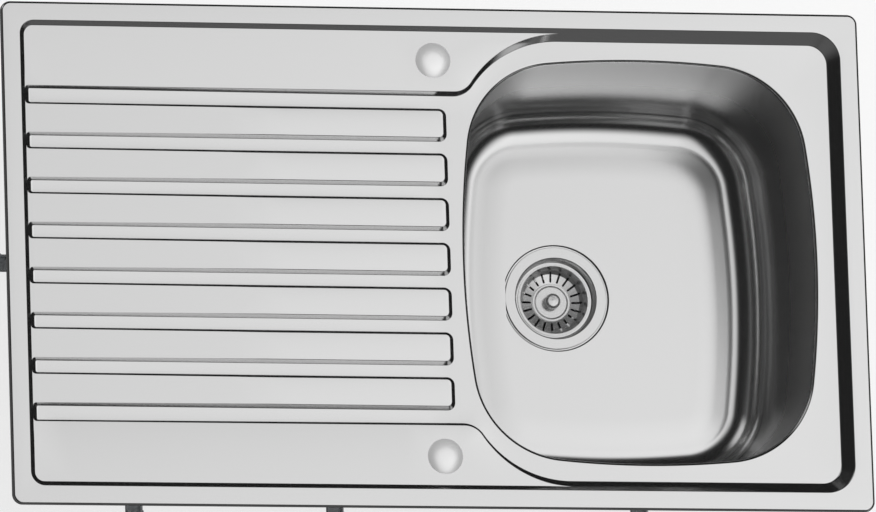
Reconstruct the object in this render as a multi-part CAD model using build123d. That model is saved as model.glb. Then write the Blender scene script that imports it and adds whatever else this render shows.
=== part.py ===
from build123d import *
import math
import os

# An inset kitchen sink: one bowl, a ribbed drainboard, a basket strainer waste and worktop clips.
# Millimetres. +X runs from the drainboard to the bowl, +Y to the back, +Z up.
# The origin is the plan centre of the sink, on the worktop's surface that the rim sits on.

os.makedirs("parts", exist_ok=True)

# Pressed top: the rim
PLATE_LENGTH = 860.0
PLATE_WIDTH = 500.0
PLATE_CORNER = 10.0
SHEET = 0.8
RIM_HEIGHT = 5.0
RIM_EDGE_RADIUS = 2.5
RIM_WIDTH = 18.7

# Pressed top: the ledges and the tray, as drops below the rim's top face
LEDGE_DROP = 4.8
LEDGE_WIDTH = 64.3
LEDGE_CORNER = 13.8
TRAY_DROP = 12.0
TRAY_CORNER_TOP = 28.5
TRAY_CORNER_FLOOR = 19.5
STEP_RUN = 0.9  # how far a step's wall runs in plan for each mm that it drops
SHEET_MITRE = 0.4  # how far the back of a step's bend lies outside its front, in plan

# Pressed top: the S-curves where the ledges end beside the bowl
LEDGE_WALL_RUN = 0.46
NECK_RADIUS = 21.2
NECK_SETBACK = 4.8  # of the neck's centre from the left end of the bowl's opening
SWEEP_RADIUS_TOP = 116.3
SWEEP_RADIUS_FLOOR = 105.5

# Pressed top: the ribs of the drainboard
RIB_COUNT = 7
RIB_SIDE_GAP = 32.6  # from a ledge's edge to the middle of the nearest rib
CHANNEL_WIDTH = 18.3  # between the tops of two ribs
RIB_HEIGHT = 6.0
RIB_WALL_RUN = 0.53
RIB_END_RUN = 0.7
RIB_END_SETBACK = 16.1  # of the ribs' ends from the left end of the bowl's opening
RIB_ROOT = 0.5
RIB_CORNER = 4.5
CHANNEL_CORNER = 2.0
RIB_TOP_DROP = 3.2
DRAINER_FALL_DEG = 0.39

# Bowl
BOWL_LENGTH = 358.4
BOWL_RIGHT_LAND = 16.3  # flat of the tray between its right wall and the bowl's opening
BOWL_BACK_LAND = 16.0
BOWL_SIDE_RADIUS = 905.0
BOWL_CORNER = 94.0
BOWL_LIP_RADIUS = 3.0
BOWL_LIP_DEPTH = 4.0
BOWL_DEPTH = 190.0  # from the rim's top face to the floor
BOWL_DRAFT_DEG = 5.0
BOWL_FLOOR_RADIUS = 29.0

# Tap holes and their knock-outs
TAP_HOLE_RADIUS = 17.5
TAP_SETBACK = 24.8  # of the tap holes from the left end of the bowl's opening
TAP_INSET = 33.3  # of the tap holes from the rim's inner edge
KNOCKOUT_RISE = 2.4

# Rim seal
SEAL_WIDTH = 9.0
SEAL_EDGE_INSET = 3.0

# Waste: heights are measured down from the flange's top face
WASTE_OFFSET_X = -46.0  # from the bowl's centre
CUP_MOUTH_RADIUS = 40.8
WASTE_HOLE_CLEARANCE = 3.2
FLANGE_OVERLAP = 6.5  # how far the flange lies over the edge of the waste hole
FLANGE_SHEET = 1.0
FLANGE_SEAL = 1.2
SEAL_SETBACK = 1.0
RECESS_CLEARANCE = 2.0
CUP_NECK_RADIUS = 38.0
SHOULDER_DEPTH = 9.6
SHOULDER_WIDTH = 2.4
CUP_DEPTH = 35.0
CUP_FOOT_RADIUS = 33.6
CUP_SEAT_RADIUS = 21.5
CUP_HUB_RADIUS = 9.0
CUP_SPOKES = 3
CUP_SPOKE_WIDTH = 6.0
CUP_SPOKE_OVERLAP = 0.5
CUP_ROUNDS = [0, 2.0, 0, 0, 1.2, 0.4, 0, 0.2, 0, 0, 3.0, 0]  # at the corners of its profile
BODY_SEAL = 3.0
BODY_WALL = 2.5
BODY_COLLAR = 4.0
BODY_COLLAR_WIDTH = 10.0
BODY_CLEARANCE = 1.0
BODY_FOOT_CLEARANCE = 2.0
BODY_DEPTH = 48.0
BODY_FLOOR = 3.0
BODY_CONE = 8.0
TAIL_RADIUS = 23.9
TAIL_BORE = 20.0
TAIL_DEPTH = 82.0
TAIL_THREAD_LENGTH = 22.0
TAIL_RELIEF = 1.0
TAIL_RELIEF_LENGTH = 3.0
BOSS_RADIUS = 6.5
BOSS_LENGTH = 14.0
BOSS_END = 2.0
BOSS_RIBS = 4
BOSS_RIB = 2.4
BOSS_RIB_DROP = 4.0
SCREW_RADIUS = 3.0
SCREW_HEAD_RADIUS = 5.8
SCREW_HEAD = 3.4
SCREW_HEAD_ROUND = 1.4
SCREW_LENGTH = 11.5
SCREW_SLOT = 1.4
SCREW_SLOT_DEPTH = 1.3

# Strainer basket: heights are measured down from the flange's top face
BASKET_SHEET = 0.7
BASKET_SIDE_GAP = 1.2
BASKET_FOOT_GAP = 1.4
BASKET_WALL_DEPTH = 9.9
BASKET_DEPTH = 14.3
BASKET_FLOOR_RISE = 1.6
BASKET_FLOOR_EDGE = 3.5
SLOT_COUNT = 20
SLOT_DISC_GAP = 1.4
SLOT_WALL_GAP = 1.2
SLOT_WIDTH = 2.0
DISC_RADIUS = 19.2
DISC_RISE = 1.0
DISC_GROOVE_RADIUS = 16.3
DISC_GROOVE_DEPTH = 0.5
DISC_GROOVE_WIDTH = 1.6
DISC_BEVEL = 0.5
KNOB_RADIUS = 7.7
KNOB_RISE = 10.4
KNOB_FOOT_RADIUS = 4.6
KNOB_NECK_RADIUS = 3.6
KNOB_FOOT_RISE = 2.0
KNOB_NECK_RISE = 4.0
KNOB_RIM_LOW = 6.0
KNOB_RIM_HIGH = 8.4
KNOB_CROWN_RADIUS = 5.5
KNOB_CROWN_DROP = 0.3
KNOB_ROUNDS = [0, 0.8, 1.0, 1.2, 1.0, 1.4, 1.5, 0]
STEM_RADIUS = 3.0
STEM_TAIL = 4.6
STOPPER_RADIUS = 26.0
STOPPER_PLATE = 2.0
STOPPER_PLATE_INSET = 6.0
STOPPER_SHOULDER = 4.0
STOPPER_BORE = 10.0
STOPPER_RUBBER = 2.0
STEM_NUT_RADIUS = 4.6
STEM_NUT_HEIGHT = 2.4
SEAT_GAP = 0.3

# Underside
PAD_LENGTH = 86.0
PAD_WIDTH = 190.0
PAD_THICKNESS = 2.0
PAD_CORNER = 8.0
PAD_OFFSET_X = 109.0  # from the waste's centre
TAG_X = -205.0
TAG_INSET = 50.0  # from the plate's front edge
TAG_LENGTH = 22.0
TAG_WIDTH = 12.0
TAG_SHEET = 1.0
TAG_HOLE_RADIUS = 2.1

# Clips
RAIL_LENGTH = 60.0
RAIL_WIDTH = 14.0
RAIL_HEIGHT = 6.5
RAIL_SHEET = 1.2
RAIL_SLOT = 6.0
BOLT_RADIUS = 2.5
BOLT_LENGTH = 66.0
BOLT_HEAD_WIDTH = 10.6
BOLT_HEAD_LENGTH = 8.0
BOLT_HEAD = 2.6
BOLT_POINT = 0.6
CLIP_GAP = 0.3
THREAD_GAP = 0.08
CLAW_SHEET = 2.0
CLAW_WIDTH = 16.0
CLAW_REACH = 33.0
CLAW_HEEL = 9.0
CLAW_TIP_RISE = 10.0
CLAW_SIDE_RISE = 5.0
CLAW_TIP_Z = -43.0  # below the worktop's surface, before tightening
CLAW_TEETH = 3
CLAW_TOOTH = 2.4
NUT_HUB_RADIUS = 5.5
NUT_HUB = 6.0
NUT_HUB_TAPER = 1.5
NUT_WING_REACH = 11.0
NUT_WING = 1.8
NUT_WING_TOP = 5.4
NUT_WING_FOOT = 10.0
NUT_WING_TAPER = 1.5
NUT_WING_ROUND = 2.0
LEDGE_RAIL_INSET = 35.0  # rails' insets are from the plate's nearest edge
TRAY_RAIL_INSET = 38.0
CHANNEL_RAIL_INSET = 34.0
LEFT_RAIL_INSET = 130.0
RAIL_SPACING = 200.0

# Levels and places worked out from the sizes above
RIM_Z = RIM_HEIGHT
LEDGE_Z = RIM_Z - LEDGE_DROP
TRAY_Z = RIM_Z - TRAY_DROP
FLOOR_Z = RIM_Z - BOWL_DEPTH
WELD_Z = TRAY_Z - BOWL_LIP_DEPTH
INNER_X = PLATE_LENGTH / 2 - RIM_WIDTH
INNER_Y = PLATE_WIDTH / 2 - RIM_WIDTH
EXTRA = 5.0  # how far a cutting tool runs past what it cuts
SAME = 0.01  # what counts as the same place
BLANK_Z = WELD_Z - 2 * EXTRA
LEDGE_EDGE_Y = INNER_Y - LEDGE_WIDTH
RIB_PITCH = 2 * (LEDGE_EDGE_Y - RIB_SIDE_GAP) / (RIB_COUNT - 1)
RIB_TOP_WIDTH = RIB_PITCH - CHANNEL_WIDTH
BOWL_WIDTH = 2 * (INNER_Y - STEP_RUN * TRAY_DROP - BOWL_BACK_LAND)
BOWL_CENTRE_X = INNER_X - STEP_RUN * TRAY_DROP - BOWL_RIGHT_LAND - BOWL_LENGTH / 2
BOWL_LEFT_X = BOWL_CENTRE_X - BOWL_LENGTH / 2
NECK_CENTRE_X = BOWL_LEFT_X - NECK_SETBACK
NECK_CENTRE_Y = LEDGE_EDGE_Y + NECK_RADIUS
RIB_END_X = BOWL_LEFT_X - RIB_END_SETBACK
TAP_X = BOWL_LEFT_X - TAP_SETBACK
TAP_Y = INNER_Y - TAP_INSET
BOWL_DRAFT = math.tan(math.radians(BOWL_DRAFT_DEG))
DRAINER_FALL = math.radians(DRAINER_FALL_DEG)
WASTE_X = BOWL_CENTRE_X + WASTE_OFFSET_X
WASTE_HOLE_RADIUS = CUP_MOUTH_RADIUS + FLANGE_SHEET + WASTE_HOLE_CLEARANCE
FLANGE_RADIUS = WASTE_HOLE_RADIUS + FLANGE_OVERLAP
BODY_COLLAR_RADIUS = WASTE_HOLE_RADIUS + BODY_COLLAR_WIDTH
RECESS_DEPTH = FLANGE_SHEET + FLANGE_SEAL
RECESS_RADIUS = FLANGE_RADIUS + RECESS_CLEARANCE
BODY_TOP = RECESS_DEPTH + SHEET + BODY_SEAL
BASKET_RIM_DEPTH = SHOULDER_DEPTH - SEAT_GAP - BASKET_SHEET
BASKET_RIM_RADIUS = CUP_NECK_RADIUS - BASKET_SIDE_GAP
BASKET_WALL_RADIUS = CUP_NECK_RADIUS - SHOULDER_WIDTH - BASKET_SIDE_GAP
BASKET_FOOT_RADIUS = CUP_FOOT_RADIUS - BASKET_FOOT_GAP
BASKET_FOOT_DEPTH = BASKET_RIM_DEPTH + BASKET_WALL_DEPTH
BASKET_FLOOR_DEPTH = BASKET_RIM_DEPTH + BASKET_DEPTH
SLOT_INNER_RADIUS = DISC_RADIUS + SLOT_DISC_GAP
SLOT_OUTER_RADIUS = BASKET_FOOT_RADIUS - SLOT_WALL_GAP
KNOB_FOOT = BASKET_FLOOR_DEPTH - DISC_RISE
STOPPER_TOP = BASKET_FLOOR_DEPTH + BASKET_SHEET
CLAW_Z = CLAW_TIP_Z - CLAW_TIP_RISE
NUT_Z = CLAW_Z - CLAW_SHEET - CLIP_GAP
RAIL_LEFT_X = LEFT_RAIL_INSET - PLATE_LENGTH / 2
RAIL_MIDDLE_X = RAIL_LEFT_X + RAIL_SPACING


def slab(length, width, height, corner, top_z):
    """An upright block with rounded corners in plan, under top_z."""
    plan = RectangleRounded(length, width, corner)
    return Pos(0, 0, top_z) * extrude(plan, amount=-height)


def tray_outline(drop, grow):
    """The tray's outline at a drop below the rim, grown outwards; the S-curves join the ledges to the rim."""
    run = STEP_RUN * drop
    top = INNER_Y - run + grow
    left = -INNER_X + run - grow
    right = INNER_X - run + grow
    ledge = LEDGE_EDGE_Y + LEDGE_WALL_RUN * (LEDGE_DROP - drop) + grow
    share = drop / TRAY_DROP
    corner = TRAY_CORNER_TOP + share * (TRAY_CORNER_FLOOR - TRAY_CORNER_TOP) + grow
    neck = NECK_CENTRE_Y - ledge
    sweep = SWEEP_RADIUS_TOP + share * (SWEEP_RADIUS_FLOOR - SWEEP_RADIUS_TOP) + grow
    rise = top - sweep - NECK_CENTRE_Y
    sweep_x = NECK_CENTRE_X + math.sqrt((neck + sweep) ** 2 - rise**2)
    turn = math.degrees(math.atan2(-rise, sweep_x - NECK_CENTRE_X))
    join_x = NECK_CENTRE_X + neck * math.cos(math.radians(turn))
    join_y = NECK_CENTRE_Y - neck * math.sin(math.radians(turn))
    neck_middle = math.radians((turn + 90) / 2)
    sweep_middle = math.radians((270 - turn) / 2)
    upper = [
        Line((left, 0), (left, ledge)),
        Line((left, ledge), (NECK_CENTRE_X, ledge)),
        ThreePointArc(
            (NECK_CENTRE_X, ledge),
            (NECK_CENTRE_X + neck * math.cos(neck_middle), NECK_CENTRE_Y - neck * math.sin(neck_middle)),
            (join_x, join_y),
        ),
        ThreePointArc(
            (join_x, join_y),
            (sweep_x + sweep * math.cos(sweep_middle), top - sweep + sweep * math.sin(sweep_middle)),
            (sweep_x, top),
        ),
        Line((sweep_x, top), (right - corner, top)),
        CenterArc((right - corner, top - corner), corner, 90, -90),
        Line((right, top - corner), (right, 0)),
    ]
    upper = [piece.edge() for piece in upper]
    lower = [edge.mirror(Plane.XZ) for edge in reversed(upper)]
    return make_face(Wire([*upper, *lower]))


def tray_cutter(grow, lower):
    top = Pos(0, 0, RIM_Z - lower) * tray_outline(0, grow)
    floor = Pos(0, 0, TRAY_Z - lower) * tray_outline(TRAY_DROP, grow)
    return loft([top, floor], ruled=True)


def ledge_cutter(grow, lower):
    """The pocket over the ledges, whose right end lies inside the tray."""
    right = NECK_CENTRE_X + SWEEP_RADIUS_TOP + 2 * NECK_RADIUS

    def outline(drop):
        run = STEP_RUN * drop - grow
        left = -INNER_X + run
        top = INNER_Y - run
        corner = LEDGE_CORNER - run
        return FilletPolyline(
            (left, -top),
            (right, -top),
            (right, top),
            (left, top),
            radius=[corner, 0, 0, corner],
            close=True,
        )

    top_face = Pos(0, 0, RIM_Z - lower) * make_face(outline(0))
    floor_face = Pos(0, 0, LEDGE_Z - lower) * make_face(outline(LEDGE_DROP))
    return loft([top_face, floor_face], ruled=True)


def rib_plane(drop, lower):
    """A plane that falls towards the bowl with the drainboard, drop below the tops of the ribs."""
    start = Vector(-INNER_X, 0, RIM_Z - RIB_TOP_DROP - drop - lower)
    return Plane(
        origin=start,
        x_dir=(math.cos(DRAINER_FALL), 0, -math.sin(DRAINER_FALL)),
        z_dir=(math.sin(DRAINER_FALL), 0, math.cos(DRAINER_FALL)),
    )


def rib_comb(drop, shrink):
    """The ribs' outline at a drop below their tops: a comb whose back is the tray's left wall."""
    half = RIB_TOP_WIDTH / 2 + RIB_WALL_RUN * drop - shrink
    end = RIB_END_X + INNER_X + RIB_END_RUN * drop - shrink
    back = STEP_RUN * (RIB_TOP_DROP + drop) + SHEET_MITRE - shrink
    inner = RIB_CORNER + (CHANNEL_CORNER - RIB_CORNER) * drop / RIB_HEIGHT + shrink
    outer = RIB_CORNER + RIB_WALL_RUN * drop - shrink
    spine = LEDGE_EDGE_Y - EXTRA / 2
    points = [(-EXTRA, -spine), (back, -spine)]
    radii = [0, 0]
    for index in range(RIB_COUNT):
        middle = (index - (RIB_COUNT - 1) / 2) * RIB_PITCH
        points += [(back, middle - half), (end, middle - half), (end, middle + half), (back, middle + half)]
        radii += [inner, outer, outer, inner]
    points += [(back, spine), (-EXTRA, spine)]
    radii += [0, 0]
    return make_face(FilletPolyline(*points, radius=radii, close=True))


def drainer_fill(shrink, lower):
    """What stands in the tray under the drainboard: the channels' sloping floor and the ribs on it."""
    root = RIB_HEIGHT + RIB_ROOT
    tops = rib_plane(0, lower) * rib_comb(0, shrink)
    roots = rib_plane(root, lower) * rib_comb(root, shrink)
    comb = loft([tops, roots], ruled=True)
    length = INNER_X + RIB_END_X + 2 * EXTRA
    bed = Box(length, 2 * LEDGE_EDGE_Y + EXTRA, EXTRA, align=(Align.MIN, Align.CENTER, Align.MAX))
    return rib_plane(RIB_HEIGHT, lower) * (Pos(-EXTRA, 0, 0) * bed) + comb


def bowl_plan(inset):
    """The bowl's outline: four bowed sides and four corners, inset from the opening in the tray."""
    half_x = BOWL_LENGTH / 2 - inset
    half_y = BOWL_WIDTH / 2 - inset
    radius = BOWL_SIDE_RADIUS - inset
    side_x = half_x - radius
    side_y = half_y - radius
    plan = Pos(side_x, 0) * Circle(radius) & Pos(-side_x, 0) * Circle(radius)
    plan = plan & Pos(0, side_y) * Circle(radius) & Pos(0, -side_y) * Circle(radius)
    return fillet(plan.vertices(), BOWL_CORNER - inset)


def top_block(inset, lower, lip):
    """Everything under one face of the pressed top: inset and lower are 0 for its upper face."""
    length = PLATE_LENGTH - 2 * inset
    width = PLATE_WIDTH - 2 * inset
    block = slab(length, width, RIM_Z - BLANK_Z, PLATE_CORNER - inset, RIM_Z - lower)
    block = fillet(block.faces().sort_by(Axis.Z)[-1].edges(), RIM_EDGE_RADIUS - inset)
    mitre = SHEET_MITRE * inset / SHEET
    block = block - ledge_cutter(mitre, lower) - tray_cutter(mitre, lower)
    block = block + drainer_fill(mitre, lower)
    opening = extrude(bowl_plan(lip), amount=BLANK_Z - TRAY_Z - 2 * EXTRA)
    block = block - Pos(BOWL_CENTRE_X, 0, TRAY_Z + EXTRA) * opening
    at_mouth = [
        edge
        for edge in block.edges().filter_by_position(Axis.Z, TRAY_Z - lower - SAME, TRAY_Z - lower + SAME)
        if abs(edge.center().X - BOWL_CENTRE_X) < BOWL_LENGTH / 2 + SAME
        and abs(edge.center().Y) < BOWL_WIDTH / 2 + SAME
    ]
    return fillet(at_mouth, lip)


def make_drainboard_top():
    front = top_block(0.0, 0.0, BOWL_LIP_RADIUS)
    back = top_block(SHEET, SHEET, BOWL_LIP_RADIUS - SHEET)
    sheet = front - back
    skirt = slab(PLATE_LENGTH + EXTRA, PLATE_WIDTH + EXTRA, EXTRA - BLANK_Z, EXTRA, 0.0)
    inside = slab(PLATE_LENGTH - RIM_WIDTH, PLATE_WIDTH - RIM_WIDTH, 3 * EXTRA - BLANK_Z, EXTRA, EXTRA)
    below_weld = Pos(BOWL_CENTRE_X, 0, WELD_Z) * extrude(bowl_plan(0), amount=BLANK_Z - WELD_Z - EXTRA)
    sheet = sheet - (skirt - inside) - below_weld
    for side in (1, -1):
        sheet = sheet - Pos(TAP_X, side * TAP_Y, LEDGE_Z) * Cylinder(TAP_HOLE_RADIUS, 4 * SHEET)
    return sheet


def bowl_block(skin):
    """The bowl as a solid lump: its hollow where skin is 0, or its outside."""
    slant = skin / math.cos(math.radians(BOWL_DRAFT_DEG))
    drop = WELD_Z - FLOOR_Z + skin
    mouth = Pos(0, 0, WELD_Z) * bowl_plan(BOWL_LIP_RADIUS - slant)
    floor = Pos(0, 0, FLOOR_Z - skin) * bowl_plan(BOWL_LIP_RADIUS + BOWL_DRAFT * drop - slant)
    block = loft([mouth, floor], ruled=True)
    bottom = block.faces().sort_by(Axis.Z)[0]
    return Pos(BOWL_CENTRE_X, 0, 0) * fillet(bottom.edges(), BOWL_FLOOR_RADIUS + skin)


def at_waste(part):
    return Pos(WASTE_X, 0, FLOOR_Z) * part


def pipe(outer, inner, top, bottom):
    """A ring about the waste's axis between two depths."""
    ring = Cylinder(outer, bottom - top, align=(Align.CENTER, Align.CENTER, Align.MAX))
    if inner > 0:
        ring = ring - Cylinder(inner, bottom - top + EXTRA, align=(Align.CENTER, Align.CENTER, Align.MAX))
    return Pos(0, 0, -top) * ring


def turned(points, radii=0):
    """A solid turned about the waste's axis from (radius, depth) points."""
    profile = [(radius, -depth) for radius, depth in points]
    return revolve(Plane.XZ * make_face(FilletPolyline(*profile, radius=radii, close=True)), Axis.Z)


def make_bowl():
    shell = bowl_block(SHEET) + at_waste(pipe(RECESS_RADIUS + SHEET, 0, 0, RECESS_DEPTH + SHEET))
    hollow = bowl_block(0.0) + at_waste(pipe(RECESS_RADIUS, 0, -EXTRA, RECESS_DEPTH))
    return shell - hollow - at_waste(pipe(WASTE_HOLE_RADIUS, 0, -EXTRA, RECESS_DEPTH + SHEET + EXTRA))


def make_knockout():
    """The domed slug that fills a tap hole until a tap is fitted."""
    radius = (TAP_HOLE_RADIUS**2 + KNOCKOUT_RISE**2) / (2 * KNOCKOUT_RISE)
    centre = LEDGE_Z + KNOCKOUT_RISE - radius
    dome = Pos(0, 0, centre) * (Sphere(radius) - Sphere(radius - SHEET))
    slug = Cylinder(TAP_HOLE_RADIUS, KNOCKOUT_RISE + 2 * SHEET, align=(Align.CENTER, Align.CENTER, Align.MIN))
    return dome & Pos(0, 0, LEDGE_Z - SHEET) * slug


def make_rim_seal():
    height = RIM_HEIGHT - SHEET
    length = PLATE_LENGTH - 2 * SEAL_EDGE_INSET
    width = PLATE_WIDTH - 2 * SEAL_EDGE_INSET
    outer = RectangleRounded(length, width, PLATE_CORNER - SEAL_EDGE_INSET)
    inset = SEAL_EDGE_INSET + SEAL_WIDTH
    inner = Rectangle(PLATE_LENGTH - 2 * inset, PLATE_WIDTH - 2 * inset)
    return extrude(outer - inner, amount=height)


def make_waste_flange():
    """The steel cup of the waste: flange, tapered wall, shoulder for the basket and spoked floor."""
    sheet = FLANGE_SHEET
    floor = CUP_DEPTH
    cup = turned(
        [
            (CUP_SEAT_RADIUS, floor),
            (CUP_FOOT_RADIUS, floor),
            (CUP_NECK_RADIUS - SHOULDER_WIDTH, SHOULDER_DEPTH),
            (CUP_NECK_RADIUS, SHOULDER_DEPTH),
            (CUP_MOUTH_RADIUS, 0),
            (FLANGE_RADIUS, 0),
            (FLANGE_RADIUS, sheet),
            (CUP_MOUTH_RADIUS + sheet, sheet),
            (CUP_NECK_RADIUS + sheet, SHOULDER_DEPTH + sheet),
            (CUP_NECK_RADIUS - SHOULDER_WIDTH + sheet, SHOULDER_DEPTH + sheet),
            (CUP_FOOT_RADIUS + sheet, floor + sheet),
            (CUP_SEAT_RADIUS, floor + sheet),
        ],
        CUP_ROUNDS,
    )
    hub = pipe(CUP_HUB_RADIUS, SCREW_RADIUS + THREAD_GAP, floor, floor + sheet)
    spoke_length = CUP_SEAT_RADIUS - CUP_HUB_RADIUS + 2 * CUP_SPOKE_OVERLAP
    spoke = Pos((CUP_SEAT_RADIUS + CUP_HUB_RADIUS) / 2, 0, -floor - sheet / 2) * Box(
        spoke_length, CUP_SPOKE_WIDTH, sheet
    )
    for index in range(CUP_SPOKES):
        hub = hub + Rot(0, 0, 360 / CUP_SPOKES * index) * spoke
    return at_waste(cup + hub)


def make_waste_body():
    """The moulded body under the bowl: collar, well, boss for the centre screw and threaded tail."""
    bore = CUP_MOUTH_RADIUS + FLANGE_SHEET + BODY_CLEARANCE
    foot = CUP_FOOT_RADIUS + FLANGE_SHEET + BODY_FOOT_CLEARANCE
    cone_top = BODY_DEPTH - BODY_FLOOR
    cone_end = cone_top + BODY_CONE
    well = turned(
        [
            (bore, BODY_TOP),
            (BODY_COLLAR_RADIUS, BODY_TOP),
            (BODY_COLLAR_RADIUS, BODY_TOP + BODY_COLLAR),
            (bore + BODY_WALL, BODY_TOP + BODY_COLLAR),
            (foot + BODY_WALL, BODY_DEPTH),
            (TAIL_RADIUS, BODY_DEPTH + BODY_CONE),
            (TAIL_RADIUS, TAIL_DEPTH),
            (TAIL_BORE, TAIL_DEPTH),
            (TAIL_BORE, cone_end),
            (foot, cone_top),
        ]
    )
    relief_end = TAIL_DEPTH - TAIL_THREAD_LENGTH
    relief = pipe(TAIL_RADIUS + EXTRA, TAIL_RADIUS - TAIL_RELIEF, relief_end - TAIL_RELIEF_LENGTH, relief_end)
    boss_top = CUP_DEPTH + FLANGE_SHEET
    boss = pipe(BOSS_RADIUS, 0, boss_top, boss_top + BOSS_LENGTH)
    rib_top = boss_top + BOSS_RIB_DROP
    rib_height = cone_end - rib_top
    rib = Pos(foot / 2, 0, -rib_top - rib_height / 2) * Box(foot + BODY_WALL, BOSS_RIB, rib_height)
    for index in range(BOSS_RIBS):
        boss = boss + Rot(0, 0, 360 / BOSS_RIBS * (index + 0.5)) * rib
    half_wall = BODY_WALL / 2
    inside = turned(
        [
            (0, BODY_TOP),
            (bore + half_wall, BODY_TOP),
            (foot + half_wall, cone_top),
            (TAIL_BORE + half_wall, cone_end),
            (0, cone_end),
        ]
    )
    screw_hole = pipe(SCREW_RADIUS + THREAD_GAP, 0, boss_top - EXTRA, boss_top + BOSS_LENGTH - BOSS_END)
    return at_waste(well - relief + (boss & inside) - screw_hole)


def make_centre_screw():
    head = pipe(SCREW_HEAD_RADIUS, 0, CUP_DEPTH - SCREW_HEAD, CUP_DEPTH)
    head = fillet(head.edges().group_by(Axis.Z)[-1], SCREW_HEAD_ROUND)
    drive = Box(2 * SCREW_HEAD_RADIUS + EXTRA, SCREW_SLOT, 2 * SCREW_SLOT_DEPTH)
    shank = pipe(SCREW_RADIUS, 0, CUP_DEPTH, CUP_DEPTH + SCREW_LENGTH)
    return at_waste(head - Pos(0, 0, SCREW_HEAD - CUP_DEPTH) * drive + shank)


def make_strainer_basket():
    """The pressed basket: rim, tapered wall, slotted floor and a raised, grooved disc under the knob."""
    sheet = BASKET_SHEET
    floor = BASKET_FLOOR_DEPTH
    disc = floor - DISC_RISE
    foot = floor - BASKET_FLOOR_RISE
    foot_edge = BASKET_FOOT_RADIUS - BASKET_FLOOR_EDGE
    stem = STEM_RADIUS + THREAD_GAP
    basket = turned(
        [
            (stem, disc),
            (DISC_GROOVE_RADIUS - DISC_GROOVE_WIDTH / 2, disc),
            (DISC_GROOVE_RADIUS, disc + DISC_GROOVE_DEPTH),
            (DISC_GROOVE_RADIUS + DISC_GROOVE_WIDTH / 2, disc),
            (DISC_RADIUS - DISC_BEVEL, disc),
            (DISC_RADIUS, floor),
            (foot_edge, foot),
            (BASKET_FOOT_RADIUS, BASKET_FOOT_DEPTH),
            (BASKET_WALL_RADIUS, BASKET_RIM_DEPTH),
            (BASKET_RIM_RADIUS, BASKET_RIM_DEPTH),
            (BASKET_RIM_RADIUS, BASKET_RIM_DEPTH + sheet),
            (BASKET_WALL_RADIUS + sheet, BASKET_RIM_DEPTH + sheet),
            (BASKET_FOOT_RADIUS + sheet, BASKET_FOOT_DEPTH + sheet / 3),
            (foot_edge + sheet / 3, foot + sheet),
            (DISC_RADIUS, floor + sheet),
            (stem, floor + sheet),
        ]
    )
    length = SLOT_OUTER_RADIUS - SLOT_INNER_RADIUS
    slot = extrude(SlotOverall(length, SLOT_WIDTH), amount=EXTRA, both=True)
    middle = (SLOT_OUTER_RADIUS + SLOT_INNER_RADIUS) / 2
    for index in range(SLOT_COUNT):
        basket = basket - Rot(0, 0, 360 / SLOT_COUNT * index) * Pos(middle, 0, -floor) * slot
    return at_waste(basket)


def make_basket_knob():
    foot = KNOB_FOOT
    profile = [
        (0, foot),
        (KNOB_FOOT_RADIUS, foot),
        (KNOB_NECK_RADIUS, foot - KNOB_FOOT_RISE),
        (KNOB_NECK_RADIUS, foot - KNOB_NECK_RISE),
        (KNOB_RADIUS, foot - KNOB_RIM_LOW),
        (KNOB_RADIUS, foot - KNOB_RIM_HIGH),
        (KNOB_CROWN_RADIUS, foot - KNOB_RISE + KNOB_CROWN_DROP),
        (0, foot - KNOB_RISE),
    ]
    return at_waste(turned(profile, KNOB_ROUNDS))


def make_basket_stem():
    return at_waste(pipe(STEM_RADIUS, 0, KNOB_FOOT, STOPPER_TOP + STEM_TAIL))


def make_stopper_plate():
    outer = STOPPER_RADIUS - STOPPER_PLATE_INSET
    return at_waste(pipe(outer, STEM_RADIUS + THREAD_GAP, STOPPER_TOP, STOPPER_TOP + STOPPER_PLATE))


def make_stopper_seal():
    """The rubber ring under the basket: its lip closes on the floor of the cup."""
    top = STOPPER_TOP + STOPPER_PLATE
    lip = CUP_DEPTH - SEAT_GAP
    shoulder = STOPPER_RADIUS - STOPPER_SHOULDER
    return at_waste(
        turned(
            [
                (STOPPER_BORE, top),
                (shoulder, top),
                (STOPPER_RADIUS, lip - STOPPER_RUBBER),
                (STOPPER_RADIUS, lip),
                (STOPPER_RADIUS - STOPPER_RUBBER, lip),
                (shoulder - STOPPER_RUBBER / 2, top + STOPPER_RUBBER),
                (STOPPER_BORE, top + STOPPER_RUBBER),
            ]
        )
    )


def make_stem_nut():
    top = STOPPER_TOP + STOPPER_PLATE
    nut = extrude(RegularPolygon(STEM_NUT_RADIUS, 6), amount=-STEM_NUT_HEIGHT)
    return at_waste(Pos(0, 0, -top) * nut - pipe(STEM_RADIUS + THREAD_GAP, 0, top - EXTRA, top + EXTRA))


def make_sound_pad():
    plan = RectangleRounded(PAD_LENGTH, PAD_WIDTH, PAD_CORNER)
    return Pos(WASTE_X + PAD_OFFSET_X, 0, FLOOR_Z - SHEET) * extrude(plan, amount=-PAD_THICKNESS)


def make_earth_tag():
    """An L-shaped tag welded under the front ledge, with a hole for the earth wire's screw."""
    under = LEDGE_Z - SHEET
    foot = Box(TAG_LENGTH / 2, TAG_WIDTH, TAG_SHEET, align=(Align.MIN, Align.CENTER, Align.MAX))
    leaf = Box(TAG_SHEET, TAG_WIDTH, TAG_LENGTH, align=(Align.MIN, Align.CENTER, Align.MAX))
    hole = Pos(0, 0, -TAG_LENGTH + TAG_WIDTH / 2) * Rot(0, 90, 0) * Cylinder(TAG_HOLE_RADIUS, EXTRA)
    return Pos(TAG_X, TAG_INSET - PLATE_WIDTH / 2, under) * (foot + leaf - hole)


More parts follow.
